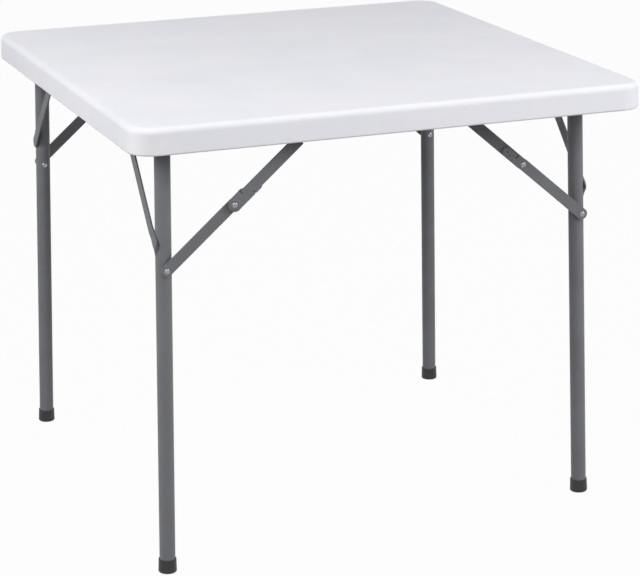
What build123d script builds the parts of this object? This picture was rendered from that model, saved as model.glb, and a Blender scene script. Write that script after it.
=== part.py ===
from build123d import *
import os
from math import cos, radians, sin, tan

# Folding card table: a square moulded top on two tube leg frames that stow inside its rim.
# Millimetres, Z up. X runs along the front edge to the right and Y away from the viewer.
# The origin lies on the floor below the middle of the top.

# Moulded top
top_side = 864.0
top_height = 737.0
top_corner_radius = 42.0
top_edge_radius = 10.0
rim_depth = 42.5
rim_width = 30.0
rim_edge_radius = 3.0
recess_corner_radius = 26.0
panel_thickness = 10.0
mould_draft_angle = 2.5

# Tack-off dimples that tie the two skins of the panel together, seen from below
dimple_mouth_radius = 8.0
dimple_floor_radius = 4.5
dimple_depth = 5.0
dimple_pitch = 116.0
dimples_per_row = 6

# Tubes of the leg frames
tube_radius = 12.7
tube_wall = 1.2
cross_tube_radius = 11.1
brace_rail_gap = 8.4
frame_nesting = 57.2
leg_splay_angle = 1.38
leg_spread_angle = 1.46
fold_axis_inset = 66.2
stow_gap = 0.5
leg_top_gap = 3.0

# Plastic foot caps
foot_radius = 15.0
foot_top_radius = 14.3
foot_grip = 17.0
foot_sole = 5.0
foot_edge_radius = 3.0
foot_lip_bevel = 0.8

# Steel rails that carry the fold axes along the front and the back
rail_thickness = 1.8
rail_rim_gap = 3.0
rail_flange_width = 18.0
rail_foot_gap = 0.5
rail_end_margin = 13.0
rail_corner_radius = 6.0

# Plastic plugs in the cross tube ends, whose spigots turn in the rails
spigot_radius = 7.05
spigot_overhang = 1.2
plug_flange = 2.0
plug_shank = 14.0
plug_play = 0.5
spigot_bevel = 0.8
running_clearance = 0.05

# Struts that stiffen each leg against its cross tube
strut_width = 20.0
strut_thickness = 2.5
strut_reach = 167.5
strut_angle = 46.6
strut_clearance = 0.7
strut_bite = 0.3
strut_seat_run = 14.0
strut_bend_run = 10.0

# Folding braces of two links each
brace_reach = 209.6
brace_angle = 40.8
link_width = 18.5
link_thickness = 2.5
link_gap = 2.6
layer_gap = 2.9
elbow_head_radius = 11.5
cheek_width = 2.0
upper_cheek_length = 26.0
lower_cheek_length = 46.0
slit_length = 6.5
slit_width = 1.4
upper_slit_place = 23.0
lower_slit_place = 38.0
stow_notch_play = 0.5
link_tail = 45.0
tail_end_radius = 6.6
tail_end_drop = 2.4
tail_slit_place = 17.0
tail_slit_length = 4.5
tail_dot_radius = 1.0
tail_dot_places = (29.5, 36.0)

# Rivets and pins of the braces
rivet_radius = 3.15
rivet_head_radius = 5.0
rivet_head_height = 1.9
rivet_head_bevel = 0.9
rivet_tail_radius = 4.5
rivet_tail_height = 1.5
collar_radius = 5.5
side_clearance = 0.15
open_pivot_gap = 0.3

# Brackets under the panel that hold the narrow frame's braces
bracket_collar = 4.5
bracket_thickness = 2.0
bracket_width = 30.0
bracket_foot_radius = 11.0
bracket_flange_width = 18.0

# One overrun for every cut
overrun = 5.0

# Heights and places that follow from the sizes above
underside = top_height - panel_thickness
rim_foot = top_height - rim_depth
recess_half = top_side / 2 - rim_width
fold_axis_x = top_side / 2 - fold_axis_inset
fold_axis_z = underside - rail_thickness - stow_gap - foot_radius
rail_outer_y = recess_half - rail_rim_gap
rail_inner_y = rail_outer_y - rail_thickness
leg_rivet_run_out = brace_reach * tan(radians(leg_spread_angle))
leg_to_brace_back = leg_rivet_run_out + tube_radius + link_gap + 2 * link_thickness + layer_gap
left_frame_half_width = rail_inner_y - brace_rail_gap - leg_to_brace_back
right_frame_half_width = left_frame_half_width - frame_nesting
leg_rivet_x = fold_axis_x + brace_reach * sin(radians(leg_splay_angle))
leg_rivet_z = fold_axis_z - brace_reach * cos(radians(leg_splay_angle))
brace_rise = fold_axis_z - leg_rivet_z
brace_pin_x = leg_rivet_x - brace_rise / tan(radians(brace_angle))
brace_length = brace_rise / sin(radians(brace_angle))

# Each brace is straight when its leg stands and lies doubled beside it when the leg is stowed.
stowed_rivet_x = fold_axis_x - brace_reach
stowed_offset = stowed_rivet_x - brace_pin_x
upper_link_length = (brace_length + stowed_offset) / 2
lower_link_length = (brace_length - stowed_offset) / 2
elbow_x = brace_pin_x + upper_link_length * cos(radians(brace_angle))
elbow_z = fold_axis_z - upper_link_length * sin(radians(brace_angle))

# A leg frame's own plane: origin on the fold axis, Z up along the legs, X outward
frame_place = Location((fold_axis_x, 0, fold_axis_z), (0, -leg_splay_angle, 0))


def turned(*corners):
    """Solid of revolution about Z through (radius, height) corners, closed along the axis."""
    first_height = corners[0][1]
    last_height = corners[-1][1]
    outline = Polyline((0, first_height), *corners, (0, last_height), close=True)
    return revolve(Plane.XZ * make_face(outline), Axis.Z)


def along_y(x, y, z):
    """Place whose own Z points along +Y, for rivets, pins and plugs."""
    return Location((x, y, z), (-90, 0, 0))


def in_corner(piece, side_x, side_y):
    """Piece modelled in the +X +Y corner, mirrored to the corner named by the signs."""
    if side_x < 0:
        piece = mirror(piece, about=Plane.YZ)
    if side_y < 0:
        piece = mirror(piece, about=Plane.XZ)
    return piece


def tabletop():
    """Moulded top with a soft upper edge, a drafted rim and a recess below for the legs."""
    outer = RectangleRounded(top_side, top_side, top_corner_radius)
    top = Pos(0, 0, rim_foot) * extrude(outer, rim_depth, taper=mould_draft_angle)
    top = fillet(top.edges().group_by(Axis.Z)[-1], top_edge_radius)
    top = fillet(top.edges().group_by(Axis.Z)[0], rim_edge_radius)
    recess_side = 2 * recess_half
    mouth = RectangleRounded(recess_side, recess_side, recess_corner_radius)
    recess = extrude(mouth, underside - rim_foot, taper=mould_draft_angle)
    top -= Pos(0, 0, rim_foot) * recess
    rim_foot_face = top.faces().sort_by(Axis.Z)[0]
    top = fillet(rim_foot_face.inner_wires()[0].edges(), rim_edge_radius)
    dimple = turned((dimple_mouth_radius, 0), (dimple_floor_radius, dimple_depth))
    for place in GridLocations(dimple_pitch, dimple_pitch, dimples_per_row, dimples_per_row):
        top -= Pos(0, 0, underside) * place * dimple
    return top


def rail():
    """Back rail: an angle under the panel with holes for both fold axes and the wide frame's brace pin."""
    flange_edge = rail_inner_y - rail_flange_width
    rail_foot = rim_foot + rail_foot_gap
    section = Polyline(
        (rail_outer_y, underside),
        (flange_edge, underside),
        (flange_edge, underside - rail_thickness),
        (rail_inner_y, underside - rail_thickness),
        (rail_inner_y, rail_foot),
        (rail_outer_y, rail_foot),
        close=True,
    )
    half_length = fold_axis_x + rail_end_margin
    angle = extrude(Plane.YZ * make_face(section), half_length, both=True)
    corners = angle.edges().filter_by(Axis.Y).group_by(Axis.Z)[0]
    angle = fillet(corners, rail_corner_radius)
    hole_length = rail_thickness + 2 * overrun
    axle_hole = Cylinder(spigot_radius + running_clearance, hole_length)
    pin_hole = Cylinder(rivet_radius, hole_length)
    for x in (-fold_axis_x, fold_axis_x):
        angle -= along_y(x, rail_outer_y, fold_axis_z) * axle_hole
    return angle - along_y(-brace_pin_x, rail_outer_y, fold_axis_z) * pin_hole


def link_layers(half_width):
    """Leg rivet's Y, and the inner faces of the two layers of links beside the leg."""
    rivet_y = half_width + leg_rivet_run_out
    near_face = rivet_y + tube_radius + link_gap
    far_face = near_face + link_thickness + layer_gap
    return rivet_y, near_face, far_face


def bracket():
    """Bent plate under the panel, beside the narrow frame's brace."""
    far_face = link_layers(right_frame_half_width)[2]
    plate_y = far_face + link_thickness + bracket_collar
    eye = Circle(bracket_foot_radius)
    height = underside - fold_axis_z
    cheek = Pos(0, -height / 2) * Rectangle(2 * bracket_foot_radius, height)
    web = Pos(0, -height + bracket_thickness / 2) * Rectangle(bracket_width, bracket_thickness)
    outline = eye + cheek + web - Circle(rivet_radius)
    plate = along_y(brace_pin_x, plate_y, fold_axis_z) * extrude(outline, bracket_thickness)
    flange = Box(
        bracket_width,
        bracket_flange_width,
        bracket_thickness,
        align=(Align.CENTER, Align.MIN, Align.MAX),
    )
    return plate + Pos(brace_pin_x, plate_y, underside) * flange


def brace_pin(plate_inner, plate_thickness, upper_face):
    """Pin that carries an upper link on its rail or bracket, with a collar between."""
    upper_back = upper_face + link_thickness + side_clearance
    front = upper_face - side_clearance
    tip = front - rivet_tail_height
    pin = turned(
        (rivet_tail_radius, 0),
        (rivet_tail_radius, front - tip),
        (rivet_radius, front - tip),
        (rivet_radius, upper_back - tip),
        (collar_radius, upper_back - tip),
        (collar_radius, plate_inner - tip),
        (rivet_radius, plate_inner - tip),
        (rivet_radius, plate_inner + plate_thickness - tip),
    )
    return along_y(brace_pin_x, tip, fold_axis_z) * pin


def cross_tube():
    """Tube that joins the two legs of a frame on the fold axis."""
    half_length = rail_inner_y - plug_play - plug_flange
    outer = Cylinder(cross_tube_radius, 2 * half_length)
    bore = Cylinder(cross_tube_radius - tube_wall, 2 * half_length + overrun)
    return along_y(fold_axis_x, 0, fold_axis_z) * (outer - bore)


def pivot_plug():
    """Plug in a cross tube's back end, with the spigot that turns in the rail."""
    tube_end = rail_inner_y - plug_play - plug_flange
    spigot_end = plug_flange + plug_play + rail_thickness + spigot_overhang
    plug = turned(
        (cross_tube_radius - tube_wall, -plug_shank),
        (cross_tube_radius - tube_wall, 0),
        (cross_tube_radius, 0),
        (cross_tube_radius, plug_flange),
        (spigot_radius, plug_flange),
        (spigot_radius, spigot_end - spigot_bevel),
        (spigot_radius - spigot_bevel, spigot_end),
    )
    return along_y(fold_axis_x, tube_end, fold_axis_z) * plug


def leg_place(half_width):
    """A leg's own place: origin on the fold axis, Z up along the leg."""
    return frame_place * Location((0, half_width, 0), (leg_spread_angle, 0, 0))


def leg_length():
    """From the fold axis down the leg to the end of its tube."""
    lean = cos(radians(leg_splay_angle)) * cos(radians(leg_spread_angle))
    return (fold_axis_z - foot_sole) / lean


def leg_rivet(half_width, link_face):
    """Rivet through the leg up to its link, with a head inside and a spacer outside."""
    rivet_y, near_face, far_face = link_layers(half_width)
    head_seat = (tube_radius**2 - rivet_tail_radius**2) ** 0.5
    spacer_end = near_face - open_pivot_gap - rivet_y
    tip = link_face - open_pivot_gap - rivet_y
    corners = [
        (rivet_tail_radius, -head_seat - rivet_tail_height),
        (rivet_tail_radius, -head_seat),
        (rivet_radius, -head_seat),
        (rivet_radius, tube_radius),
        (collar_radius, tube_radius),
        (collar_radius, spacer_end),
    ]
    if tip > spacer_end:
        corners += [(rivet_radius, spacer_end), (rivet_radius, tip)]
    return along_y(leg_rivet_x, rivet_y, leg_rivet_z) * turned(*corners)


def leg(half_width, rivet):
    """Leg tube, coped over the cross tube and drilled for its rivet."""
    length = leg_length() - leg_top_gap
    outer = Cylinder(tube_radius, length)
    bore = Cylinder(tube_radius - tube_wall, length + overrun)
    middle = -leg_top_gap - length / 2
    tube = leg_place(half_width) * Pos(0, 0, middle) * (outer - bore)
    saddle = along_y(fold_axis_x, 0, fold_axis_z) * Cylinder(cross_tube_radius, top_side)
    return tube - saddle - rivet


def foot(half_width):
    """Cap on the leg's end, rounded at the floor and cut flat where it stands."""
    base = -foot_sole - foot_edge_radius / 4
    cap = turned(
        (foot_radius, base),
        (foot_top_radius, foot_grip),
        (tube_radius + foot_lip_bevel, foot_grip),
        (tube_radius, foot_grip - foot_lip_bevel),
        (tube_radius, 0),
    )
    cap = fillet(cap.edges().group_by(Axis.Z)[0], foot_edge_radius)
    cap = leg_place(half_width) * Pos(0, 0, -leg_length()) * cap
    return split(cap, bisect_by=Plane.XY, keep=Keep.TOP)


def strut(half_width):
    """Flat strut on the frame's outer face, bent in at both ends to seat on the tubes."""
    slope = radians(strut_angle)
    run = (0, -cos(slope), sin(slope))
    edge = (0, sin(slope), cos(slope))
    leg_y = half_width + strut_reach * tan(radians(leg_spread_angle))
    length = strut_reach / sin(slope)
    half_strip = strut_width / 2
    leg_seat = tube_radius - strut_bite
    clear_face = tube_radius + strut_clearance
    tube_seat = cross_tube_radius - strut_bite
    tube_bend = length - strut_seat_run - strut_bend_run
    inner = [
        (-strut_width, leg_seat),
        (strut_seat_run, leg_seat),
        (strut_seat_run + strut_bend_run, clear_face),
        (tube_bend, clear_face),
        (length - strut_seat_run, tube_seat),
        (length + strut_width, tube_seat),
    ]
    outer = [(t, offset + strut_thickness) for t, offset in reversed(inner)]
    side_plane = Plane(origin=(0, leg_y, -strut_reach), x_dir=run, z_dir=edge)
    strip = extrude(side_plane * make_face(Polyline(*inner, *outer, close=True)), half_strip, both=True)
    face_plane = Plane(origin=(0, leg_y, -strut_reach), x_dir=run, z_dir=(1, 0, 0))
    outline = Pos(length / 2, 0) * SlotCenterToCenter(length, strut_width)
    strip &= extrude(face_plane * outline, tube_radius + strut_width)
    strip -= Location((0, half_width, 0), (leg_spread_angle, 0, 0)) * Cylinder(tube_radius, top_side * 2)
    strip -= Rot(90, 0, 0) * Cylinder(cross_tube_radius, top_side)
    return frame_place * strip


def edge_slit(place, side, length):
    """Cut left by a lanced stop tab, in from one edge of a link."""
    middle = side * (link_width / 2 + cheek_width - length / 2)
    return Pos(place, middle) * Rectangle(slit_width, length)


def upper_link(face, elbow_hole_radius):
    """Link from the pin under the panel to the elbow, with a notch that clears the leg's rivet."""
    slope = radians(brace_angle)
    plane = Plane(
        origin=(brace_pin_x, face, fold_axis_z),
        x_dir=(cos(slope), 0, -sin(slope)),
        z_dir=(0, 1, 0),
    )
    length = upper_link_length
    outline = Pos(length / 2, 0) * SlotCenterToCenter(length, link_width)
    outline += Pos(length, 0) * Circle(elbow_head_radius)
    for side, cheek_length in ((-1, upper_cheek_length), (1, lower_cheek_length)):
        cheek_middle = length - cheek_length / 2
        outline += Pos(cheek_middle, side * cheek_width) * SlotCenterToCenter(cheek_length, link_width)
    outline -= Circle(rivet_radius + running_clearance)
    outline -= Pos(length, 0) * Circle(elbow_hole_radius)
    outline -= edge_slit(length - upper_slit_place, -1, slit_length)
    outline -= edge_slit(length - lower_slit_place, 1, slit_length)
    notch_radius = rivet_radius + stow_notch_play
    notch = SlotCenterToCenter(link_width, 2 * notch_radius, rotation=90)
    outline -= Pos(stowed_offset, link_width / 2) * notch
    return extrude(plane * outline, link_thickness)


def lower_link(face, elbow_hole_radius):
    """Link from the leg's rivet up past the elbow to the end of its tapered tail."""
    slope = radians(brace_angle)
    plane = Plane(
        origin=(leg_rivet_x, face, leg_rivet_z),
        x_dir=(-cos(slope), 0, sin(slope)),
        z_dir=(0, 1, 0),
    )
    length = lower_link_length
    elbow_end = Pos(length, 0) * Circle(link_width / 2)
    tail_end = Pos(length + link_tail - tail_end_radius, -tail_end_drop) * Circle(tail_end_radius)
    outline = Pos(length / 2, 0) * SlotCenterToCenter(length, link_width)
    outline += make_hull(elbow_end.edges() + tail_end.edges())
    outline -= Circle(rivet_radius)
    outline -= Pos(length, 0) * Circle(elbow_hole_radius)
    outline -= edge_slit(length + tail_slit_place, 1, tail_slit_length + cheek_width)
    for place in tail_dot_places:
        outline -= Pos(length + place, -tail_end_drop * place / link_tail) * Circle(tail_dot_radius)
    return extrude(plane * outline, link_thickness)


def elbow_rivet(near_face, far_face):
    """Elbow pin, headed on the outer link, with a collar between the links."""
    tip = near_face - side_clearance - rivet_tail_height
    front = near_face - side_clearance
    near_back = near_face + link_thickness + side_clearance
    far_back = far_face + link_thickness
    head_top = far_back + rivet_head_height
    pin = turned(
        (rivet_tail_radius, 0),
        (rivet_tail_radius, front - tip),
        (rivet_radius, front - tip),
        (rivet_radius, near_back - tip),
        (collar_radius, near_back - tip),
        (collar_radius, far_face - tip),
        (rivet_radius, far_face - tip),
        (rivet_radius, far_back - tip),
        (rivet_head_radius, far_back - tip),
        (rivet_head_radius, head_top - rivet_head_bevel - tip),
        (rivet_head_radius - rivet_head_bevel, head_top - tip),
    )
    return along_y(elbow_x, tip, elbow_z) * pin


def link_rivet(face):
    """Rivet head on the lower link's end, over the leg's rivet."""
    head_top = link_thickness + rivet_head_height
    rivet = turned(
        (rivet_radius, 0),
        (rivet_radius, link_thickness),
        (rivet_head_radius, link_thickness),
        (rivet_head_radius, head_top - rivet_head_bevel),
        (rivet_head_radius - rivet_head_bevel, head_top),
    )
    return along_y(leg_rivet_x, face, leg_rivet_z) * rivet


def corner_pieces(side, end, half_width):
    """Pieces of one leg and its brace, modelled in the +X +Y corner, by the first part of their names."""
    rivet_y, near_face, far_face = link_layers(half_width)
    if side == "left":
        plate_inner = rail_inner_y
        plate_thickness = rail_thickness
    else:
        plate_inner = far_face + link_thickness + bracket_collar
        plate_thickness = bracket_thickness
    tight_hole = rivet_radius
    free_hole = rivet_radius + running_clearance
    if (side == "left") == (end == "front"):
        lower_face, lower_hole = near_face, free_hole
        upper_face, upper_hole = far_face, tight_hole
    else:
        lower_face, lower_hole = far_face, tight_hole
        upper_face, upper_hole = near_face, free_hole
    rivet = leg_rivet(half_width, lower_face)
    return {
        "leg": leg(half_width, rivet),
        "foot": foot(half_width),
        "strut": strut(half_width),
        "leg_rivet": rivet,
        "pivot_plug": pivot_plug(),
        "upper_link": upper_link(upper_face, upper_hole),
        "lower_link": lower_link(lower_face, lower_hole),
        "elbow_rivet": elbow_rivet(near_face, far_face),
        "link_rivet": link_rivet(lower_face),
        "brace_pin": brace_pin(plate_inner, plate_thickness, upper_face),
    }


def frame_pieces(side, half_width):
    """Every piece of one leg frame and its braces, by node name."""
    side_x = -1 if side == "left" else 1
    pieces = {f"cross_tube_{side}": in_corner(cross_tube(), side_x, 1)}
    for end, side_y in (("front", -1), ("back", 1)):
        for name, piece in corner_pieces(side, end, half_width).items():
            pieces[f"{name}_{end}_{side}"] = in_corner(piece, side_x, side_y)
    return pieces


moulding = tabletop()
nodes = {
    "tabletop": split(moulding, Plane.XY.offset(underside), keep=Keep.TOP),
    "rim": split(moulding, Plane.XY.offset(underside), keep=Keep.BOTTOM),
    "rail_front": in_corner(rail(), 1, -1),
    "rail_back": rail(),
    "bracket_front_right": in_corner(bracket(), 1, -1),
    "bracket_back_right": bracket(),
}
nodes.update(frame_pieces("left", left_frame_half_width))
nodes.update(frame_pieces("right", right_frame_half_width))

os.makedirs("parts", exist_ok=True)
for name, piece in nodes.items():
    export_step(piece, f"parts/{name}.step")

# The folding plan, for whoever joins the pieces
print(f"fold axes at x {fold_axis_x:.3f} and z {fold_axis_z:.3f}, fold {90 + leg_splay_angle:.3f} degrees")
print(f"brace pins at x {brace_pin_x:.3f}, elbows at x {elbow_x:.3f} z {elbow_z:.3f}")
print(f"leg rivets at x {leg_rivet_x:.3f} z {leg_rivet_z:.3f}")
print(f"upper link {upper_link_length:.3f}, lower link {lower_link_length:.3f}")
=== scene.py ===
"""Looks of a folding card table: a moulded white top on grey tube legs with jointed braces."""

import logging
import math
import random
from collections.abc import Callable
from dataclasses import dataclass
from enum import Enum
from functools import partial

import bmesh
import bpy
from mathutils import Matrix, Vector
from mathutils.geometry import tessellate_polygon


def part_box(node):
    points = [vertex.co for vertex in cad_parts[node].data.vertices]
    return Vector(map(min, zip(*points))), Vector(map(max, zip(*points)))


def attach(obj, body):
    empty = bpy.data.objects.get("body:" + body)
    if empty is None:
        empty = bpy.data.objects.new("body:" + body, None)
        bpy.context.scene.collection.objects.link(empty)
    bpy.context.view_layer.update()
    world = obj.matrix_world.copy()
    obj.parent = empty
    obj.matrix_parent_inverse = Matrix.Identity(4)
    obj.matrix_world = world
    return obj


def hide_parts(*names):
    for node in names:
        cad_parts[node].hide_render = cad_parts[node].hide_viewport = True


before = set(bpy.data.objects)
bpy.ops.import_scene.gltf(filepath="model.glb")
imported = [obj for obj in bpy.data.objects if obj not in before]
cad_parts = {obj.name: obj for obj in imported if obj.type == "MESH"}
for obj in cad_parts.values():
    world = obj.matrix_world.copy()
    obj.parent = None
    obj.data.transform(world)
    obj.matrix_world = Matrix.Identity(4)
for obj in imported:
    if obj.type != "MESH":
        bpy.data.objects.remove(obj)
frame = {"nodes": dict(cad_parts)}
bpy.context.view_layer.update()

log = logging.getLogger("card_table")
MM = 0.001

Pair = tuple[float, float]
Point = tuple[float, float, float]
Points = tuple[Pair, ...]
Profile = list[Pair]
Tree = bpy.types.NodeTree
Socket = bpy.types.NodeSocket


class Side(Enum):
    """The two leg frames, by their sign along X."""

    LEFT = -1
    RIGHT = 1

    @property
    def word(self) -> str:
        """The side as node names spell it."""
        return self.name.lower()


class End(Enum):
    """The two ends of a leg frame, by their sign along Y."""

    FRONT = -1
    BACK = 1

    @property
    def word(self) -> str:
        """The end as node names spell it."""
        return self.name.lower()


class Slot(Enum):
    """The record's material slots that added pieces take."""

    FRAME = "frame_paint"
    LINK = "link_paint"
    RIVET = "rivet_steel"


# ---------------------------------------------------------------- materials


def linear(hex_code: str) -> tuple[float, float, float, float]:
    """Turns an sRGB hex colour to linear light.

    Args:
        hex_code: Six hex digits after a hash sign.

    Returns:
        Red, green, blue and an alpha of one.
    """
    parts = [int(hex_code[i:i + 2], 16) / 255 for i in (1, 3, 5)]
    red, green, blue = [c / 12.92 if c <= 0.04045 else ((c + 0.055) / 1.055) ** 2.4 for c in parts]
    return red, green, blue, 1.0


def add_node(
    tree: Tree,
    kind: str,
    settings: dict[str | int, object] | None = None,
    links: dict[str | int, Socket] | None = None,
) -> bpy.types.Node:
    """Adds a node, sets its fields and sockets, and joins its inputs.

    Args:
        tree: The material's or the world's node tree.
        kind: The node's type name.
        settings: Values by field name, or by an input's name or number where the node has no such field.
        links: Output sockets of other nodes by the name or number of the input they feed.

    Returns:
        The new node.
    """
    node = tree.nodes.new(kind)
    for key, value in (settings or {}).items():
        if hasattr(node, str(key)):
            setattr(node, str(key), value)
        else:
            node.inputs[key].default_value = value
    for key, socket in (links or {}).items():
        tree.links.new(socket, node.inputs[key])
    return node


def new_tree(name: str) -> tuple[bpy.types.Material, Tree]:
    """Makes an empty node material.

    Args:
        name: The material's name.

    Returns:
        The material and its cleared node tree.
    """
    material = bpy.data.materials.new(name)
    material.use_nodes = True
    material.node_tree.nodes.clear()
    return material, material.node_tree


def grains_per_metre(size_mm: float) -> float:
    """Scale of a pattern.

    Args:
        size_mm: Width of its grains in millimetres.

    Returns:
        The grains to a metre.
    """
    return 1 / (size_mm * MM)


def noise(
    tree: Tree, place: Socket, size_mm: float, detail: float, roughness: float = 0.5, distortion: float = 0.0
) -> Socket:
    """Adds a noise pattern.

    Args:
        tree: The node tree.
        place: The socket that gives the place on the piece.
        size_mm: Width of the pattern's grains in millimetres.
        detail: Number of finer layers on it.
        roughness: Share of each finer layer.
        distortion: How far the pattern is stirred.

    Returns:
        The pattern's value socket.
    """
    settings = {"Scale": grains_per_metre(size_mm), "Detail": detail, "Roughness": roughness}
    settings["Distortion"] = distortion
    return add_node(tree, "ShaderNodeTexNoise", settings, {"Vector": place}).outputs["Fac"]


def bump(
    tree: Tree, height: Socket, strength: float, depth_mm: float, normal: Socket | None = None
) -> Socket:
    """Raises a pattern as relief.

    Args:
        tree: The node tree.
        height: The socket that gives the pattern.
        strength: Share of the relief that shows.
        depth_mm: Its depth in millimetres.
        normal: The normal that it is laid on, where that isn't the surface's own.

    Returns:
        The new normal's socket.
    """
    links = {"Height": height}
    if normal is not None:
        links["Normal"] = normal
    settings = {"Strength": strength, "Distance": depth_mm * MM}
    return add_node(tree, "ShaderNodeBump", settings, links).outputs["Normal"]


def surface(tree: Tree, settings: dict[str | int, object], links: dict[str | int, Socket]) -> None:
    """Ends a material in one principled shader.

    Args:
        tree: The node tree.
        settings: The shader's fixed inputs.
        links: The sockets that feed its other inputs.
    """
    shader = add_node(tree, "ShaderNodeBsdfPrincipled", settings, links)
    add_node(tree, "ShaderNodeOutputMaterial", links={"Surface": shader.outputs["BSDF"]})


def ramp(tree: Tree, factor: Socket, span: Pair, levels: Pair = (0.0, 1.0)) -> Socket:
    """Maps a span of values to grey levels, which hold beyond it.

    Args:
        tree: The node tree.
        factor: The socket that gives the value.
        span: The values at the span's two ends.
        levels: The grey level at each.

    Returns:
        The ramp's colour socket.
    """
    node = add_node(tree, "ShaderNodeValToRGB", links={"Fac": factor})
    for element, place, level in zip(node.color_ramp.elements, span, levels):
        element.position = place
        element.color = (level, level, level, 1)
    return node.outputs["Color"]


def blend_colours(tree: Tree, factor: Socket, first: str, second: str) -> Socket:
    """Mixes two hex colours by a value.

    Args:
        tree: The node tree.
        factor: The socket that gives the share of the second colour.
        first: Hex colour at zero.
        second: Hex colour at one.

    Returns:
        The mixed colour's socket.
    """
    node = add_node(tree, "ShaderNodeValToRGB", links={"Fac": factor})
    low, high = node.color_ramp.elements
    low.color = linear(first)
    high.color = linear(second)
    return node.outputs["Color"]


@dataclass(frozen=True)
class MouldedPolyethylene:
    """Blow-moulded high-density polyethylene, off-white, from a spark-eroded mould.

    It gives the eye a soft, slightly cloudy white with a fine pebble that dulls every highlight.
    """

    name: str = "moulded_polyethylene"
    colour: str = "#F0F0F5"
    cloud_colour: str = "#EBECF3"
    # Typical of the resin
    ior: float = 1.54
    # A spark-eroded mould leaves a dull surface, and its pits hide most of the sheen at a slant
    gloss: float = 0.18
    roughness: float = 0.8
    rubbed_roughness: float = 0.7
    # Real grain is about 0.4 mm; it is drawn coarser so that a close view shows it
    grain_mm: float = 1.1
    grain_depth_mm: float = 0.035
    cloud_mm: float = 130.0
    cloud_span: Pair = (0.35, 0.7)
    scuff_mm: float = 26.0
    scuff_span: Pair = (0.35, 0.6)

    def material(self) -> bpy.types.Material:
        """Builds the node material."""
        material, tree = new_tree(self.name)
        place = add_node(tree, "ShaderNodeTexCoord").outputs["Object"]
        cloud = noise(tree, place, self.cloud_mm, detail=3.0, roughness=0.55)
        colour = blend_colours(tree, ramp(tree, cloud, self.cloud_span), self.colour, self.cloud_colour)
        scuffs = noise(tree, place, self.scuff_mm, detail=6.0, roughness=0.7, distortion=1.2)
        rough = ramp(tree, scuffs, self.scuff_span, (self.rubbed_roughness, self.roughness))
        pebble = add_node(
            tree, "ShaderNodeTexVoronoi",
            {"feature": "SMOOTH_F1", "Scale": grains_per_metre(self.grain_mm), "Smoothness": 0.8},
            {"Vector": place},
        )
        normal = bump(tree, pebble.outputs["Distance"], strength=0.6, depth_mm=self.grain_depth_mm)
        settings = {"IOR": self.ior, "Specular IOR Level": self.gloss}
        surface(tree, settings, {"Base Color": colour, "Roughness": rough, "Normal": normal})
        return material


@dataclass(frozen=True)
class PowderCoat:
    """Satin polyester powder coat on steel, sprayed and baked.

    It gives the eye an even grey with a faint orange peel that ripples the highlights,
    and a pale speck here and there where the coat is thin on an edge.
    """

    name: str = "satin_powder_coat"
    colour: str = "#75777B"
    warm_colour: str = "#727175"
    ior: float = 1.5
    # The matting agent in the powder takes the sheen off at a slant
    gloss: float = 0.28
    roughness: float = 0.5
    smooth_roughness: float = 0.42
    # Orange peel of a baked powder is about 1.5 to 2 mm from crest to crest
    peel_mm: float = 1.7
    peel_depth_mm: float = 0.03
    # Powder grit is about 0.1 mm; it is drawn coarser so that it shows
    grit_mm: float = 0.45
    grit_depth_mm: float = 0.012
    patch_mm: float = 60.0
    tint_span: Pair = (0.38, 0.66)
    sheen_span: Pair = (0.3, 0.7)
    # The powder draws back round the sheared edges of plate and rounds them
    edge_round_mm: float = 0.6

    def material(self) -> bpy.types.Material:
        """Builds the node material."""
        material, tree = new_tree(self.name)
        place = add_node(tree, "ShaderNodeTexCoord").outputs["Object"]
        patches = noise(tree, place, self.patch_mm, detail=4.0, roughness=0.6)
        colour = blend_colours(tree, ramp(tree, patches, self.tint_span), self.colour, self.warm_colour)
        rough = ramp(tree, patches, self.sheen_span, (self.smooth_roughness, self.roughness))
        peel = noise(tree, place, self.peel_mm, detail=1.0, roughness=0.4)
        grit = noise(tree, place, self.grit_mm, detail=2.0, roughness=0.6)
        rounded = add_node(tree, "ShaderNodeBevel", {"samples": 6, "Radius": self.edge_round_mm * MM})
        coarse = bump(tree, peel, 0.5, self.peel_depth_mm, rounded.outputs["Normal"])
        fine = bump(tree, grit, 0.5, self.grit_depth_mm, coarse)
        settings = {"IOR": self.ior, "Specular IOR Level": self.gloss}
        surface(tree, settings, {"Base Color": colour, "Roughness": rough, "Normal": fine})
        return material


@dataclass(frozen=True)
class ZincPlate:
    """Bright zinc on cold-headed steel rivets and screws.

    It gives the eye a cool silver with small soft reflections, and a dull bloom in patches.
    """

    name: str = "bright_zinc_plate"
    colour: str = "#A3A4A7"
    bloom_colour: str = "#7B7C80"
    roughness: float = 0.11
    bloom_roughness: float = 0.2
    bloom_mm: float = 2.4
    bloom_span: Pair = (0.4, 0.68)

    def material(self) -> bpy.types.Material:
        """Builds the node material."""
        material, tree = new_tree(self.name)
        place = add_node(tree, "ShaderNodeTexCoord").outputs["Object"]
        bloom = noise(tree, place, self.bloom_mm, detail=3.0, roughness=0.6)
        colour = blend_colours(tree, ramp(tree, bloom, self.bloom_span), self.colour, self.bloom_colour)
        rough = ramp(tree, bloom, self.bloom_span, (self.roughness, self.bloom_roughness))
        surface(tree, {"Metallic": 1.0}, {"Base Color": colour, "Roughness": rough})
        return material


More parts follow.
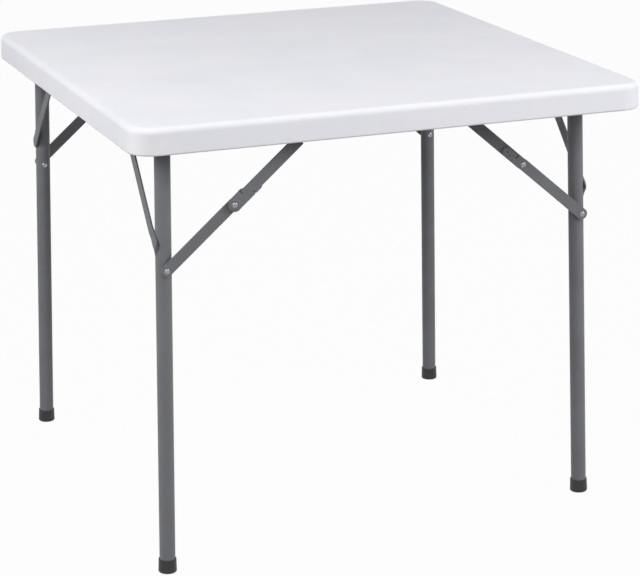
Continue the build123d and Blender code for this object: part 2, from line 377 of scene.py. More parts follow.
@dataclass(frozen=True)
class BlackPolyethylene:
    """Injection-moulded low-density polyethylene, black, for foot caps and tube plugs.

    It gives the eye a soft black with a faint waxy sheen and a few grey scuffs.
    """

    name: str = "black_polyethylene"
    colour: str = "#1B1A1D"
    scuff_colour: str = "#2B2A2D"
    ior: float = 1.51
    roughness: float = 0.46
    grain_mm: float = 0.7
    grain_depth_mm: float = 0.02
    scuff_mm: float = 5.0
    scuff_span: Pair = (0.5, 0.72)

    def material(self) -> bpy.types.Material:
        """Builds the node material."""
        material, tree = new_tree(self.name)
        place = add_node(tree, "ShaderNodeTexCoord").outputs["Object"]
        scuffs = noise(tree, place, self.scuff_mm, detail=6.0, roughness=0.7)
        colour = blend_colours(tree, ramp(tree, scuffs, self.scuff_span), self.colour, self.scuff_colour)
        grain = noise(tree, place, self.grain_mm, detail=2.0)
        normal = bump(tree, grain, strength=0.5, depth_mm=self.grain_depth_mm)
        settings = {"IOR": self.ior, "Roughness": self.roughness}
        surface(tree, settings, {"Base Color": colour, "Normal": normal})
        return material


# ---------------------------------------------------------------- mesh tools


def turned_mesh(name: str, profile: Profile, steps: int = 40, hollow: bool = False) -> bpy.types.Mesh:
    """Turns a profile about Z into a closed mesh.

    Args:
        name: The mesh's name.
        profile: Radius and height in millimetres, from one end to the other, without the points on the axis.
        steps: Facets round the axis.
        hollow: Whether the profile's last point joins its first, which leaves the axis free.

    Returns:
        The mesh in metres, smooth between its corners.
    """
    shape = bmesh.new()
    rings = []
    for radius, height in profile:
        rings.append([
            shape.verts.new((
                radius * MM * math.cos(2 * math.pi * i / steps),
                radius * MM * math.sin(2 * math.pi * i / steps),
                height * MM,
            ))
            for i in range(steps)
        ])
    for low, high in zip(rings, rings[1:] + rings[:1] if hollow else rings[1:]):
        for i in range(steps):
            j = (i + 1) % steps
            shape.faces.new((low[i], low[j], high[j], high[i]))
    ends = [] if hollow else [(rings[0], profile[0][1], True), (rings[-1], profile[-1][1], False)]
    for ring, height, flip in ends:
        centre = shape.verts.new((0, 0, height * MM))
        for i in range(steps):
            j = (i + 1) % steps
            corners = (ring[j], ring[i], centre) if flip else (ring[i], ring[j], centre)
            shape.faces.new(corners)
    bmesh.ops.recalc_face_normals(shape, faces=shape.faces)
    return mesh_of(name, shape)


def plate_mesh(
    name: str, outline: Profile, holes: list[Profile], thickness: float, place: Matrix
) -> bpy.types.Mesh:
    """Cuts a flat plate with holes, from its XY plane up.

    Args:
        name: The mesh's name.
        outline: Its outline in millimetres.
        holes: Outlines of its holes.
        thickness: Its thickness in millimetres.
        place: Where the plate's own axes lie in the table's frame; it may mirror them.

    Returns:
        The mesh in metres, in the table's frame.
    """
    loops = [[Vector((x, y, 0)) for x, y in loop] for loop in (outline, *holes)]
    points = [point for loop in loops for point in loop]
    shape = bmesh.new()
    low, high = (
        [shape.verts.new(place @ (MM * Vector((point.x, point.y, height)))) for point in points]
        for height in (0, thickness)
    )
    for a, b, c in tessellate_polygon(loops):
        shape.faces.new((low[a], low[c], low[b]))
        shape.faces.new((high[a], high[b], high[c]))
    start = 0
    for loop in loops:
        for i in range(len(loop)):
            a, b = start + i, start + (i + 1) % len(loop)
            shape.faces.new((low[a], low[b], high[b], high[a]))
        start += len(loop)
    bmesh.ops.recalc_face_normals(shape, faces=shape.faces)
    return mesh_of(name, shape)


def arc(centre: Pair, radius: float, start: float, end: float, steps: int = 12) -> Profile:
    """Points on an arc, both ends among them.

    Args:
        centre: Its centre.
        radius: Its radius.
        start: Angle of the first point in degrees.
        end: Angle of the last point in degrees.
        steps: Number of chords.

    Returns:
        The points.
    """
    angles = [math.radians(start + (end - start) * i / steps) for i in range(steps + 1)]
    return [(centre[0] + radius * math.cos(angle), centre[1] + radius * math.sin(angle)) for angle in angles]


def circle(centre: Pair, radius: float, count: int) -> Profile:
    """Points evenly round a circle.

    Args:
        centre: Its centre.
        radius: Its radius.
        count: How many points.

    Returns:
        The points, without the first one again at the end.
    """
    return arc(centre, radius, 0, 360 - 360 / count, count - 1)


def mesh_of(name: str, shape: bmesh.types.BMesh, corner_degrees: float = 38.0) -> bpy.types.Mesh:
    """Turns a bmesh to a mesh that is smooth but for its corners.

    Args:
        name: The mesh's name.
        shape: The bmesh, which is freed.
        corner_degrees: Edges that turn more than this stay sharp.

    Returns:
        The mesh.
    """
    mesh = bpy.data.meshes.new(name)
    shape.to_mesh(mesh)
    shape.free()
    mesh.shade_smooth()
    mesh.set_sharp_from_angle(angle=math.radians(corner_degrees))
    return mesh


def dome(radius: float, base: float, rise: float, rings: int = 6) -> Profile:
    """Profile points of a shallow dome, from its rim to near its crown.

    Args:
        radius: The dome's radius in millimetres.
        base: Height of its rim.
        rise: Height of the crown above the rim.
        rings: Number of points.

    Returns:
        The points, without the crown itself.
    """
    return [
        (radius * math.cos(math.pi / 2 * i / rings), base + rise * math.sin(math.pi / 2 * i / rings))
        for i in range(rings)
    ]


def place_piece(
    name: str, mesh: bpy.types.Mesh, matrix: Matrix, body: str, material: bpy.types.Material
) -> bpy.types.Object:
    """Puts a mesh in the scene as a finished piece.

    Args:
        name: The piece's name.
        mesh: Its mesh.
        matrix: Its place in the table's frame.
        body: The body it rides on.
        material: Its material.

    Returns:
        The piece.
    """
    piece = bpy.data.objects.new(name, mesh)
    bpy.context.scene.collection.objects.link(piece)
    mesh.materials.clear()
    mesh.materials.append(material)
    piece.matrix_world = matrix
    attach(piece, body)
    log.info("%s rides on %s", name, body)
    return piece


def axis_place(point: Point, direction: Vector) -> Matrix:
    """Place whose Z points along a direction.

    Args:
        point: Origin in metres.
        direction: Where Z points.

    Returns:
        The matrix.
    """
    turn = direction.to_track_quat("Z", "Y").to_matrix().to_4x4()
    return Matrix.Translation(point) @ turn


def dress(node: str, material: bpy.types.Material) -> None:
    """Gives a solid of the frame its material.

    Args:
        node: The node's name.
        material: The material for the whole of it.
    """
    piece = frame["nodes"][node]
    for place in piece.material_slots:
        place.material = material
    log.info("%s dressed in %s", node, material.name)


# ---------------------------------------------------------------- the table


@dataclass
class Finishes:
    """The table's materials, made once."""

    top: bpy.types.Material
    frame: bpy.types.Material
    link: bpy.types.Material
    # A darker copy of the frame's coat: painted shade on the struts, whose faces the left lamp lights
    strip: bpy.types.Material
    zinc: bpy.types.Material
    foot: bpy.types.Material


@dataclass
class Screw:
    """Pan-head screw with a cross recess, in millimetres."""

    head_radius: float = 4.4
    head_height: float = 2.1
    rim_height: float = 0.7
    recess_reach: float = 2.3
    recess_width: float = 0.95
    recess_depth: float = 1.2
    # The recess is shallower towards the ends of its arms, and the crown flatter than a ball
    recess_rise: float = 0.6
    crown_power: float = 2.4
    rings: int = 12
    steps: int = 48

    def height(self, x: float, y: float) -> float:
        """Height of the head's surface over a point, with the recess sunk in it.

        Args:
            x: The point's X in millimetres.
            y: Its Y.

        Returns:
            The height above the seat in millimetres.
        """
        share = min(1.0, math.hypot(x, y) / self.head_radius)
        crown = math.sqrt(1 - share**self.crown_power)
        top = self.rim_height + (self.head_height - self.rim_height) * crown
        across, along = sorted((abs(x), abs(y)))
        if across < self.recess_width / 2 and along < self.recess_reach:
            return top - self.recess_depth * (1 - along / self.recess_reach * self.recess_rise)
        return top

    def mesh(self, name: str) -> bpy.types.Mesh:
        """Builds the head on the XY plane, crown up.

        Args:
            name: The mesh's name.

        Returns:
            The mesh in metres.
        """
        shape = bmesh.new()
        centre = shape.verts.new((0, 0, self.height(0, 0) * MM))
        rows = []
        for ring in range(1, self.rings + 1):
            radius = self.head_radius * ring / self.rings
            row = []
            for i in range(self.steps):
                angle = 2 * math.pi * i / self.steps
                x, y = radius * math.cos(angle), radius * math.sin(angle)
                row.append(shape.verts.new((x * MM, y * MM, self.height(x, y) * MM)))
            rows.append(row)
        rows.append([shape.verts.new((v.co.x, v.co.y, 0)) for v in rows[-1]])
        for i in range(self.steps):
            shape.faces.new((centre, rows[0][i], rows[0][(i + 1) % self.steps]))
        for near, far in zip(rows, rows[1:]):
            for i in range(self.steps):
                j = (i + 1) % self.steps
                shape.faces.new((near[i], far[i], far[j], near[j]))
        shape.faces.new(list(reversed(rows[-1])))
        bmesh.ops.recalc_face_normals(shape, faces=shape.faces)
        return mesh_of(name, shape)


@dataclass
class Tabletop:
    """The moulded top."""

    finishes: Finishes

    def build(self) -> None:
        """Dresses the panel and the rim, which are one moulding."""
        dress("tabletop", self.finishes.top)
        dress("rim", self.finishes.top)


@dataclass
class Rails:
    """Steel rails and brackets under the top, with the screws that hold them."""

    finishes: Finishes
    screw: Screw
    # Along the rail, clear of where the wide frame's feet stow
    screw_places: tuple[float, ...] = (-362.0, -242.0, -121.0, 0.0, 121.0, 242.0, 362.0)
    flange_middle: float = 388.2
    flange_under: float = 725.2
    bracket_under: float = 725.0
    bracket_x: float = 128.094
    bracket_screw_pitch: float = 17.0
    bracket_screw_y: float = 345.9

    def build(self) -> None:
        """Dresses the rails and brackets and sets their screws."""
        for end in End:
            dress(f"rail_{end.word}", self.finishes.frame)
            dress(f"bracket_{end.word}_right", self.finishes.frame)
            for number, x in enumerate(self.screw_places):
                place = (x, end.value * self.flange_middle, self.flange_under)
                self.set_screw(f"rail_screw_{end.word}_{number}", place)
            for number, step in enumerate((-0.5, 0.5)):
                x = self.bracket_x + step * self.bracket_screw_pitch
                place = (x, end.value * self.bracket_screw_y, self.bracket_under)
                self.set_screw(f"bracket_screw_{end.word}_{number}", place)

    def set_screw(self, name: str, place: Point) -> None:
        """Sets one screw head down under a flange.

        Args:
            name: The piece's name.
            place: Middle of its seat, in millimetres.
        """
        turn = Matrix.Rotation(random.uniform(0, math.pi / 2), 4, "Z")
        matrix = axis_place(tuple(MM * v for v in place), Vector((0, 0, -1))) @ turn
        place_piece(name, self.screw.mesh(name), matrix, "table", self.finishes.zinc)


@dataclass(frozen=True)
class WeldRunOut:
    """Weld bead that runs out from a strut's round lower end down its leg, in millimetres."""

    strut_radius: float = 9.9
    strut_face: float = 14.7
    tube_radius: float = 12.7
    length: float = 15.0
    # The bead's toe narrows a little and sinks into the tube's wall
    toe_share: float = 0.95
    toe_sink: float = 0.3
    # Its root lies inside the tube
    root_x: float = 7.0
    root_share: float = 0.9
    root_lift: float = 1.0
    start_degrees: float = -158.0
    sweep_degrees: float = 136.0
    corner_degrees: float = 60.0
    steps: int = 24

    def section(self, step: int) -> list[Point]:
        """Corners of the bead at one place round the strut's end.

        Args:
            step: Number of the place, from zero.

        Returns:
            Face, toe and root: X out of the leg, Y across it and Z up, from the end's middle.
        """
        angle = math.radians(self.start_degrees + self.sweep_degrees * step / self.steps)
        across, down = self.strut_radius * math.cos(angle), self.strut_radius * math.sin(angle)
        toe = self.toe_share * across
        toe_x = math.sqrt(self.tube_radius**2 - toe**2) - self.toe_sink
        return [
            (self.strut_face, across, down),
            (toe_x, toe, down - self.length * math.sin(angle) ** 2),
            (self.root_x, self.root_share * across, down + self.root_lift),
        ]


@dataclass
class LegFrame:
    """One leg frame: cross tube, two legs with struts, plugs and foot caps."""

    finishes: Finishes
    side: Side
    run_out: WeldRunOut = WeldRunOut()
    fold_axis: Pair = (365.8, 709.7)
    splay_degrees: float = 1.38
    spread_degrees: float = 1.46
    strut_reach: float = 167.5

    def build(self) -> None:
        """Dresses every piece of the frame and adds the front strut's weld."""
        side = self.side.word
        dress(f"cross_tube_{side}", self.finishes.frame)
        for end in End:
            dress(f"leg_{end.word}_{side}", self.finishes.frame)
            # The struts take the darker copy of the coat, which is painted shade
            dress(f"strut_{end.word}_{side}", self.finishes.strip)
            for kind in ("foot", "pivot_plug"):
                dress(f"{kind}_{end.word}_{side}", self.finishes.foot)
        self.set_run_out(End.FRONT)

    @property
    def half_width(self) -> float:
        """Y of the legs' upper ends, in millimetres."""
        low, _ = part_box(f"leg_back_{self.side.word}")
        return low.y / MM + self.run_out.tube_radius

    def set_run_out(self, end: End) -> None:
        """Fairs a strut's lower end into the leg, where the photograph shows no step.

        Args:
            end: The leg's end of the frame.
        """
        middle = self.half_width + self.strut_reach * math.tan(math.radians(self.spread_degrees))
        turn = Matrix.Rotation(math.radians(-self.splay_degrees), 4, "Y")
        fold_axis = Vector((self.fold_axis[0], 0, self.fold_axis[1]))
        shape = bmesh.new()
        rows = []
        for step in range(self.run_out.steps + 1):
            row = []
            for x, y, z in self.run_out.section(step):
                point = fold_axis + turn @ Vector((x, middle + y, z - self.strut_reach))
                place = Vector((self.side.value * point.x, end.value * point.y, point.z))
                row.append(shape.verts.new(MM * place))
            rows.append(row)
        for near, far in zip(rows, rows[1:]):
            for a, b in ((0, 1), (1, 2), (2, 0)):
                shape.faces.new((near[a], near[b], far[b], far[a]))
        shape.faces.new(rows[0])
        shape.faces.new(list(reversed(rows[-1])))
        bmesh.ops.recalc_face_normals(shape, faces=shape.faces)
        name = f"weld_run_out_{end.word}_{self.side.word}"
        mesh = mesh_of(name, shape, self.run_out.corner_degrees)
        # The bead takes the struts' darker coat, which is painted shade
        place_piece(name, mesh, Matrix(), f"{self.side.word}_frame", self.finishes.strip)


@dataclass(frozen=True)
class LinkStamping:
    """Outlines of the links, in millimetres, with X along the link from its first hole and Y across it."""

    width: float = 18.5
    thickness: float = 2.5
    hole_radius: float = 3.2
    upper_length: float = 174.393
    lower_length: float = 146.287
    # Where the upper link lies outside, its elbow end swells to cheeks with a lanced slit each
    head_radius: float = 11.5
    cheek_width: float = 2.0
    upper_cheek: float = 21.4
    lower_cheek: float = 46.0
    slit_width: float = 1.6
    slit_reach: float = 6.5
    upper_slit: float = 20.4
    lower_slit: float = 36.0
    tab_side: float = 6.4
    tab_inset: float = 0.15
    tab_thickness: float = 1.2
    notch_place: float = 28.106
    notch_radius: float = 3.65
    # Where the lower link lies outside, its tail shows
    tail_length: float = 46.2
    tail_radius: float = 7.0
    tail_drop: float = 2.0
    tail_slit: float = 17.6
    tail_slit_width: float = 2.1
    tail_slit_floor: float = 0.4
    tail_dot_radius: float = 1.15
    tail_dots: Points = ((30.2, -3.0), (37.6, -1.2))
    hole_points: int = 24
    dot_points: int = 12

    def holes(self, length: float) -> list[Profile]:
        """The rivets' holes at the two ends of a link.

        Args:
            length: Its length from hole to hole.

        Returns:
            Both outlines.
        """
        return [circle((x, 0), self.hole_radius, self.hole_points) for x in (0, length)]

    def dots(self) -> list[Profile]:
        """Outlines of the small holes in the lower link's tail."""
        return [
            circle((self.lower_length + x, y), self.tail_dot_radius, self.dot_points)
            for x, y in self.tail_dots
        ]

    def upper(self, cheeks: bool) -> Profile:
        """Outline of the upper link, from its pin to its elbow.

        Args:
            cheeks: Whether the elbow end has cheeks and slits.

        Returns:
            The points, with the lower edge at positive Y.
        """
        half, length = self.width / 2, self.upper_length
        points = arc((0, 0), half, 90, 270)
        if cheeks:
            reach = half + self.cheek_width
            lean = math.degrees(math.acos((half - self.cheek_width) / half))
            meet = math.degrees(math.acos(reach / self.head_radius))
            points += arc((length - self.upper_cheek, -self.cheek_width), half, -90 - lean, -90, 5)
            points += self.slit(length - self.upper_slit, -reach)
            points += arc((length, 0), self.head_radius, -90 - meet, 90 + meet, 24)
            points += self.slit(length - self.lower_slit, reach)
            points += arc((length - self.lower_cheek, self.cheek_width), half, 90, 90 + lean, 5)
        else:
            points += arc((length, 0), half, -90, 90)
        notch = self.notch_place
        points += [(notch + self.notch_radius, half)]
        points += arc((notch, 0), self.notch_radius, 0, -180)
        points += [(notch - self.notch_radius, half)]
        return points

    def slit(self, x: float, edge: float) -> Profile:
        """Points of a slit in from an edge, along the way that the outline runs.

        Args:
            x: The slit's middle.
            edge: Y of the edge.

        Returns:
            The four points.
        """
        floor = math.copysign(abs(edge) - self.slit_reach, edge)
        step = math.copysign(self.slit_width / 2, edge)
        return [(x + step, edge), (x + step, floor), (x - step, floor), (x - step, edge)]

    def tabs(self) -> list[Profile]:
        """Outlines of the two stop tabs behind the slits, which the solids leave out."""
        half = self.tab_side / 2
        middle = self.width / 2 + self.cheek_width - half - self.tab_inset
        outlines = []
        for place, side in ((self.upper_slit, -1), (self.lower_slit, 1)):
            x, y = self.upper_length - place, side * middle
            corners = ((-half, -half), (half, -half), (half, half), (-half, half))
            outlines.append([(x + across, y + up) for across, up in corners])
        return outlines

    def lower(self) -> Profile:
        """Outline of the lower link with its tail, from the leg's rivet; the upper edge is at positive Y."""
        half, length = self.width / 2, self.lower_length
        tail = (length + self.tail_length - self.tail_radius, -self.tail_drop)
        run = math.hypot(tail[0] - length, tail[1])
        tilt = math.degrees(math.atan2(tail[1], tail[0] - length))
        open_angle = math.degrees(math.acos((half - self.tail_radius) / run))
        points = arc((0, 0), half, 90, 270)
        points += [(length, -half)]
        points += arc(tail, self.tail_radius, tilt - open_angle, tilt + open_angle, 18)
        high = arc((length, 0), half, tilt + open_angle, 90, 2)
        (x1, y1), (x2, y2) = points[-1], high[0]
        slit = [length + self.tail_slit + share * self.tail_slit_width for share in (0.5, -0.5)]
        first, last = [(x, y2 + (y1 - y2) / (x1 - x2) * (x - x2)) for x in slit]
        points += [first, (first[0], self.tail_slit_floor), (last[0], self.tail_slit_floor), last]
        return points + high


@dataclass(frozen=True)
class RivetForm:
    """Profiles of the turned rivets and pins, in millimetres outward from their inner ends."""

    head_radius: float = 5.0
    head_rim: float = 0.75
    head_bevel: float = 0.25
    head_land: float = 0.6
    head_height: float = 1.9
    groove_radius: float = 3.9
    groove_depth: float = 0.2
    groove_slope: float = 0.1
    # The tail is rolled over round a dimple
    tail_roll: Points = ((0.9, 0.9), (1.5, 0.35), (2.3, 0.0), (3.2, 0.05), (4.0, 0.4))
    tail_edge: float = 1.0
    tail_radius: float = 4.5
    tail_height: float = 1.5
    shank_radius: float = 3.15
    collar_radius: float = 5.5
    # Below the elbow's head: the outer link, and the collar that parts it from the inner one
    outer_link: float = 2.5
    elbow_collar: float = 2.75
    # The spacer on the leg, and the way on to a lower link that lies outside
    leg_spacer: float = 2.3
    leg_run_on: float = 5.4
    # The upper link with its play, between the pin's tail and its collar
    pin_grip: float = 2.8

    def head(self, seat: float) -> Profile:
        """Profile of a head: a rim, a groove and a dome.

        Args:
            seat: Height of the face it sits on.

        Returns:
            The points from the seat to the crown.
        """
        rim = seat + self.head_rim
        floor = rim - self.groove_depth
        return [
            (self.head_radius, seat),
            (self.head_radius, rim - self.head_bevel),
            (self.head_radius - self.head_bevel, rim),
            (self.head_radius - self.head_land, rim),
            (self.groove_radius + self.groove_slope, floor),
            *dome(self.groove_radius, floor, seat + self.head_height - floor),
        ]

    def tail(self) -> Profile:
        """Profile of a tail, from its dimple out to its edge and down to the shank."""
        return [
            *self.tail_roll,
            (self.tail_radius, self.tail_edge),
            (self.tail_radius, self.tail_height),
            (self.shank_radius, self.tail_height),
        ]

    def collar(self, start: float, end: float) -> Profile:
        """Profile of a collar on the shank.

        Args:
            start: Height of its inner face.
            end: Height of its outer face.

        Returns:
            The four points.
        """
        shank, collar = self.shank_radius, self.collar_radius
        return [(shank, start), (collar, start), (collar, end), (shank, end)]

    def elbow(self, length: float) -> Profile:
        """Tail, shank, collar and head of an elbow's rivet.

        Args:
            length: Its whole length.

        Returns:
            The profile.
        """
        seat = length - self.head_height
        collar_end = seat - self.outer_link
        collar = self.collar(collar_end - self.elbow_collar, collar_end)
        return [*self.tail(), *collar, (self.shank_radius, seat), *self.head(seat)]

    def link(self, length: float) -> Profile:
        """Shank and head of the rivet on a lower link's end.

        Args:
            length: Its whole length.

        Returns:
            The profile.
        """
        seat = length - self.head_height
        return [(self.shank_radius, 0), (self.shank_radius, seat), *self.head(seat)]

    def leg(self, length: float, runs_on: bool) -> Profile:
        """Tail, shank and spacer of the rivet through a leg.

        Args:
            length: Its whole length.
            runs_on: Whether the shank runs on from the spacer to a lower link that lies outside.

        Returns:
            The profile.
        """
        shank = self.shank_radius
        tip = length - self.leg_run_on if runs_on else length
        spacer = self.collar(tip - self.leg_spacer, tip)
        if runs_on:
            return [*self.tail(), *spacer, (shank, length)]
        return [*self.tail(), *spacer[:-1]]

    def pin(self, length: float, plate: float) -> Profile:
        """Tail, shank and collar of the pin that carries an upper link.

        Args:
            length: Its whole length.
            plate: Thickness of the rail or bracket that holds it.

        Returns:
            The profile.
        """
        collar = self.collar(self.tail_height + self.pin_grip, length - plate)
        return [*self.tail(), *collar, (self.shank_radius, length)]


@dataclass
class Brace:
    """One folding brace: two links on three rivets and a pin."""

    finishes: Finishes
    side: Side
    end: End
    stamping: LinkStamping = LinkStamping()
    rivet: RivetForm = RivetForm()
    slope_degrees: float = 40.8
    pin_place: Pair = (128.094, 709.7)
    leg_rivet_place: Pair = (370.848, 500.161)
    boss_profile: Points = ((5.3, 0.0), (10.2, 0.0), (8.7, 0.55), (5.6, 0.55))
    rail_thickness: float = 1.8
    bracket_thickness: float = 2.0

    @property
    def tag(self) -> str:
        """The corner as node names spell it."""
        return f"{self.end.word}_{self.side.word}"

    @property
    def upper_outside(self) -> bool:
        """Whether the upper link is the outer one here."""
        return (self.side is Side.LEFT) == (self.end is End.FRONT)

    @property
    def out(self) -> Vector:
        """The way out of the table at this end."""
        return Vector((0, self.end.value, 0))

    def outward(self, node: str) -> tuple[Point, float]:
        """A node's inner end and its length along Y.

        Args:
            node: The node's name.

        Returns:
            Middle of its inner end in metres, and its length in millimetres.
        """
        low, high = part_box(node)
        inner = low.y if self.end is End.BACK else high.y
        return ((low.x + high.x) / 2, inner, (low.z + high.z) / 2), (high.y - low.y) / MM

    def set_rivet(self, kind: str, body: str, profile: Callable[[float], Profile]) -> None:
        """Puts a turned rivet in the place of its plain solid.

        Args:
            kind: First part of the node's name.
            body: The body it rides on.
            profile: Gives the rivet's profile for its length.
        """
        node = f"{kind}_{self.tag}"
        point, length = self.outward(node)
        name = f"{node}_turned"
        mesh = turned_mesh(name, profile(length))
        piece = place_piece(name, mesh, axis_place(point, self.out), body, self.finishes.zinc)
        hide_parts(node)

    def link_place(self, node: str, origin: Pair, inward: bool) -> Matrix:
        """Axes of a link: X along it, Y across it, Z out from its inner face.

        Args:
            node: The link's node, whose inner face it takes.
            origin: X and Z of its first hole in millimetres, on the right side.
            inward: Whether the link runs up towards the table's middle, as the lower one does.

        Returns:
            The place, mirrored for the side and the end.
        """
        slope = math.radians(self.slope_degrees)
        turn = 1 if inward else -1
        side = self.side.value
        along = Vector((-turn * side * math.cos(slope), 0, turn * math.sin(slope)))
        across = Vector((turn * side * math.sin(slope), 0, turn * math.cos(slope)))
        place = Matrix((along, across, self.out)).transposed().to_4x4()
        place.translation = (side * origin[0] * MM, self.outward(node)[0][1], origin[1] * MM)
        return place

    def set_plate(
        self, name: str, body: str, outline: Profile, holes: list[Profile], thickness: float, place: Matrix
    ) -> bpy.types.Object:
        """Puts a stamped plate in the scene.

        Args:
            name: The piece's name.
            body: The body it rides on.
            outline: Its outline.
            holes: Outlines of its holes.
            thickness: Its thickness in millimetres.
            place: The axes it is drawn on.

        Returns:
            The piece.
        """
        mesh = plate_mesh(name, outline, holes, thickness, place)
        return place_piece(name, mesh, Matrix(), body, self.finishes.link)

    def set_upper_link(self) -> None:
        """Stamps the upper link, with the stop tabs and the coined boss where it lies outside."""
        node = f"upper_link_{self.tag}"
        shape = self.stamping
        place = self.link_place(node, self.pin_place, inward=False)
        outline, holes = shape.upper(cheeks=self.upper_outside), shape.holes(shape.upper_length)
        piece = self.set_plate(f"{node}_stamped", node, outline, holes, shape.thickness, place)
        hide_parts(node)
        if self.upper_outside:
            behind = place @ Matrix.Translation((0, 0, -shape.tab_thickness * MM))
            for number, tab in enumerate(shape.tabs()):
                self.set_plate(f"stop_tab_{self.tag}_{number}", node, tab, [], shape.tab_thickness, behind)
            name = f"elbow_boss_{self.tag}"
            centre = place @ Vector((shape.upper_length * MM, 0, shape.thickness * MM))
            boss = turned_mesh(name, list(self.boss_profile), hollow=True)
            place_piece(name, boss, axis_place(centre, self.out), node, self.finishes.link)

    def set_lower_link(self) -> None:
        """Stamps the lower link where it lies outside, and dresses its solid elsewhere."""
        node = f"lower_link_{self.tag}"
        if self.upper_outside:
            dress(node, self.finishes.link)
            return
        shape = self.stamping
        place = self.link_place(node, self.leg_rivet_place, inward=True)
        holes = shape.holes(shape.lower_length) + shape.dots()
        piece = self.set_plate(f"{node}_stamped", node, shape.lower(), holes, shape.thickness, place)
        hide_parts(node)

    def build(self) -> None:
        """Stamps the links and sets the rivets."""
        rivet, upper_outside = self.rivet, self.upper_outside
        plate = self.rail_thickness if self.side is Side.LEFT else self.bracket_thickness
        outer = "upper_link" if upper_outside else "lower_link"
        self.set_upper_link()
        self.set_lower_link()
        self.set_rivet("elbow_rivet", f"{outer}_{self.tag}", rivet.elbow)
        self.set_rivet("link_rivet", f"lower_link_{self.tag}", rivet.link)
        self.set_rivet("leg_rivet", f"{self.side.word}_frame", partial(rivet.leg, runs_on=not upper_outside))
        self.set_rivet("brace_pin", "table", partial(rivet.pin, plate=plate))


# ---------------------------------------------------------------- the studio


@dataclass(frozen=True)
class SoftLamp:
    """Square soft lamp that faces the table, with its middle and side in metres."""

    name: str
    place: Point
    side: float
    watts: float


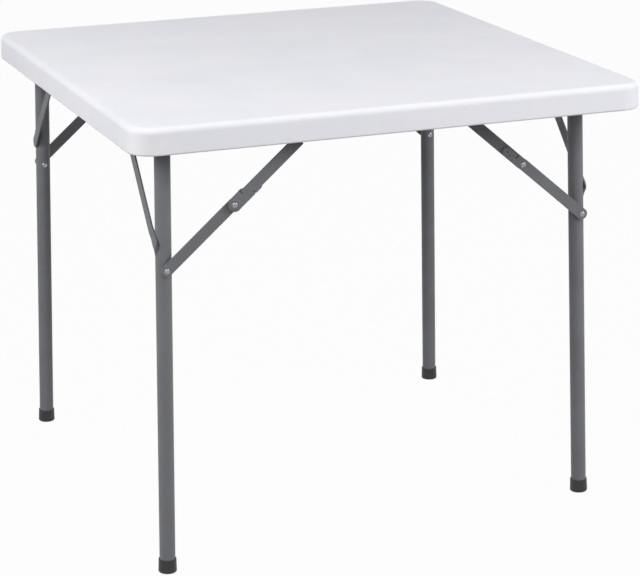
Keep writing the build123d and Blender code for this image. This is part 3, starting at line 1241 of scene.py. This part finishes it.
@dataclass
class Studio:
    """Pale floor, white surround, soft lamps and the camera."""

    camera_place: Point = (-1.369692, -3.629285, 1.507667)
    yaw: float = 0.36776
    pitch: float = 0.29683
    roll: float = -0.00905
    focal_pixels: float = 2299.02
    frame_width_pixels: float = 640.0
    sensor_width: float = 36.0
    floor_side: float = 14.0
    floor_colour: str = "#9E9E9E"
    floor_white_share: float = 0.97
    ambient: float = 0.35
    horizon_share: float = 0.25
    # Height of a ray, as the Z of its direction, where the surround reaches its full light
    sky_span: Pair = (0.0, 0.7)
    centre: Point = (0.0, 0.0, 0.45)
    view_reach: float = 60.0
    lamps: tuple[SoftLamp, ...] = (
        SoftLamp("key_lamp", (-0.9, -3.1, 2.4), 1.8, 35.5),
        SoftLamp("right_lamp", (2.2, -1.9, 2.1), 1.4, 53.0),
        SoftLamp("left_lamp", (-2.4, -0.3, 2.0), 1.4, 41.0),
    )

    def build(self) -> None:
        """Builds the floor, the world, the lamps and the camera."""
        self.floor()
        self.world()
        for lamp in self.lamps:
            self.hang(lamp)
        self.camera()

    def seen_white(self, tree: Tree) -> Socket:
        """One for rays that see the white surround straight, in a gloss or through glass.

        Args:
            tree: The node tree.

        Returns:
            The socket.
        """
        path = add_node(tree, "ShaderNodeLightPath").outputs
        seen = path["Is Camera Ray"]
        for ray in ("Is Glossy Ray", "Is Transmission Ray"):
            either = add_node(tree, "ShaderNodeMath", {"operation": "MAXIMUM"}, {0: seen, 1: path[ray]})
            seen = either.outputs[0]
        return seen

    def floor(self) -> None:
        """Lays the floor, white to the eye and a plain matt paint to the light."""
        material, tree = new_tree("studio_floor")
        settings = {"operation": "MULTIPLY", 1: self.floor_white_share}
        share = add_node(tree, "ShaderNodeMath", settings, {0: self.seen_white(tree)})
        paint = add_node(tree, "ShaderNodeBsdfDiffuse", {"Color": linear(self.floor_colour)})
        glow = add_node(tree, "ShaderNodeEmission", {"Color": (1, 1, 1, 1), "Strength": 1.0})
        links = {"Fac": share.outputs[0], 1: paint.outputs[0], 2: glow.outputs[0]}
        mix = add_node(tree, "ShaderNodeMixShader", links=links)
        add_node(tree, "ShaderNodeOutputMaterial", links={"Surface": mix.outputs[0]})
        shape = bmesh.new()
        bmesh.ops.create_grid(shape, x_segments=4, y_segments=4, size=self.floor_side / 2)
        mesh = bpy.data.meshes.new("floor")
        shape.to_mesh(mesh)
        shape.free()
        mesh.materials.append(material)
        floor = bpy.data.objects.new("floor", mesh)
        bpy.context.scene.collection.objects.link(floor)

    def world(self) -> None:
        """Makes the surround: white to the eye and softer as light."""
        world = bpy.data.worlds.new("studio")
        world.use_nodes = True
        tree = world.node_tree
        tree.nodes.clear()
        direction = add_node(tree, "ShaderNodeTexCoord").outputs["Generated"]
        height = add_node(tree, "ShaderNodeSeparateXYZ", links={"Vector": direction}).outputs["Z"]
        sky = ramp(tree, height, self.sky_span, (self.horizon_share, 1.0))
        light = add_node(tree, "ShaderNodeBackground", {"Strength": self.ambient}, {"Color": sky})
        white = add_node(tree, "ShaderNodeBackground", {"Color": (1, 1, 1, 1), "Strength": 1.0})
        links = {"Fac": self.seen_white(tree), 1: light.outputs[0], 2: white.outputs[0]}
        mix = add_node(tree, "ShaderNodeMixShader", links=links)
        add_node(tree, "ShaderNodeOutputWorld", links={"Surface": mix.outputs[0]})
        bpy.context.scene.world = world

    def hang(self, lamp: SoftLamp) -> None:
        """Hangs a lamp so that it faces the table.

        Args:
            lamp: The lamp.
        """
        data = bpy.data.lights.new(lamp.name, "AREA")
        data.shape = "SQUARE"
        data.size = lamp.side
        data.energy = lamp.watts
        hung = bpy.data.objects.new(lamp.name, data)
        hung.matrix_world = axis_place(lamp.place, Vector(lamp.place) - Vector(self.centre))
        bpy.context.scene.collection.objects.link(hung)

    def camera(self) -> None:
        """Sets the camera at the photograph's place and angle."""
        data = bpy.data.cameras.new("camera")
        data.sensor_width = self.sensor_width
        data.lens = self.focal_pixels * self.sensor_width / self.frame_width_pixels
        data.clip_end = self.view_reach
        forward = Vector((
            math.sin(self.yaw) * math.cos(self.pitch),
            math.cos(self.yaw) * math.cos(self.pitch),
            -math.sin(self.pitch),
        ))
        level = Vector((math.cos(self.yaw), -math.sin(self.yaw), 0.0))
        upright = level.cross(forward)
        right = math.cos(self.roll) * level + math.sin(self.roll) * upright
        up = right.cross(forward)
        matrix = Matrix((right, up, -forward)).transposed().to_4x4()
        matrix.translation = self.camera_place
        camera = bpy.data.objects.new("camera", data)
        camera.matrix_world = matrix
        bpy.context.scene.collection.objects.link(camera)
        bpy.context.scene.camera = camera


def main() -> None:
    """Builds and dresses the table, then the studio round it."""
    logging.basicConfig(level=logging.INFO, format="%(message)s")
    random.seed(34)
    finishes = Finishes(
        top=MouldedPolyethylene().material(),
        frame=PowderCoat().material(),
        link=PowderCoat(name="satin_powder_coat_links", peel_depth_mm=0.022).material(),
        # A darker copy of the powder coat: painted shade on the struts and their weld run-outs, which takes
        # back the light that the left lamp throws on their flat faces
        strip=PowderCoat(name="satin_powder_coat_strips", colour="#64666A", warm_colour="#616064").material(),
        zinc=ZincPlate().material(),
        foot=BlackPolyethylene().material(),
    )
    Tabletop(finishes).build()
    Rails(finishes, Screw()).build()
    for side in Side:
        LegFrame(finishes, side).build()
        for end in End:
            Brace(finishes, side, end).build()
    Studio().build()
    bpy.context.scene.view_settings.view_transform = "Standard"
    bpy.context.view_layer.update()


if __name__ == "__main__":
    main()
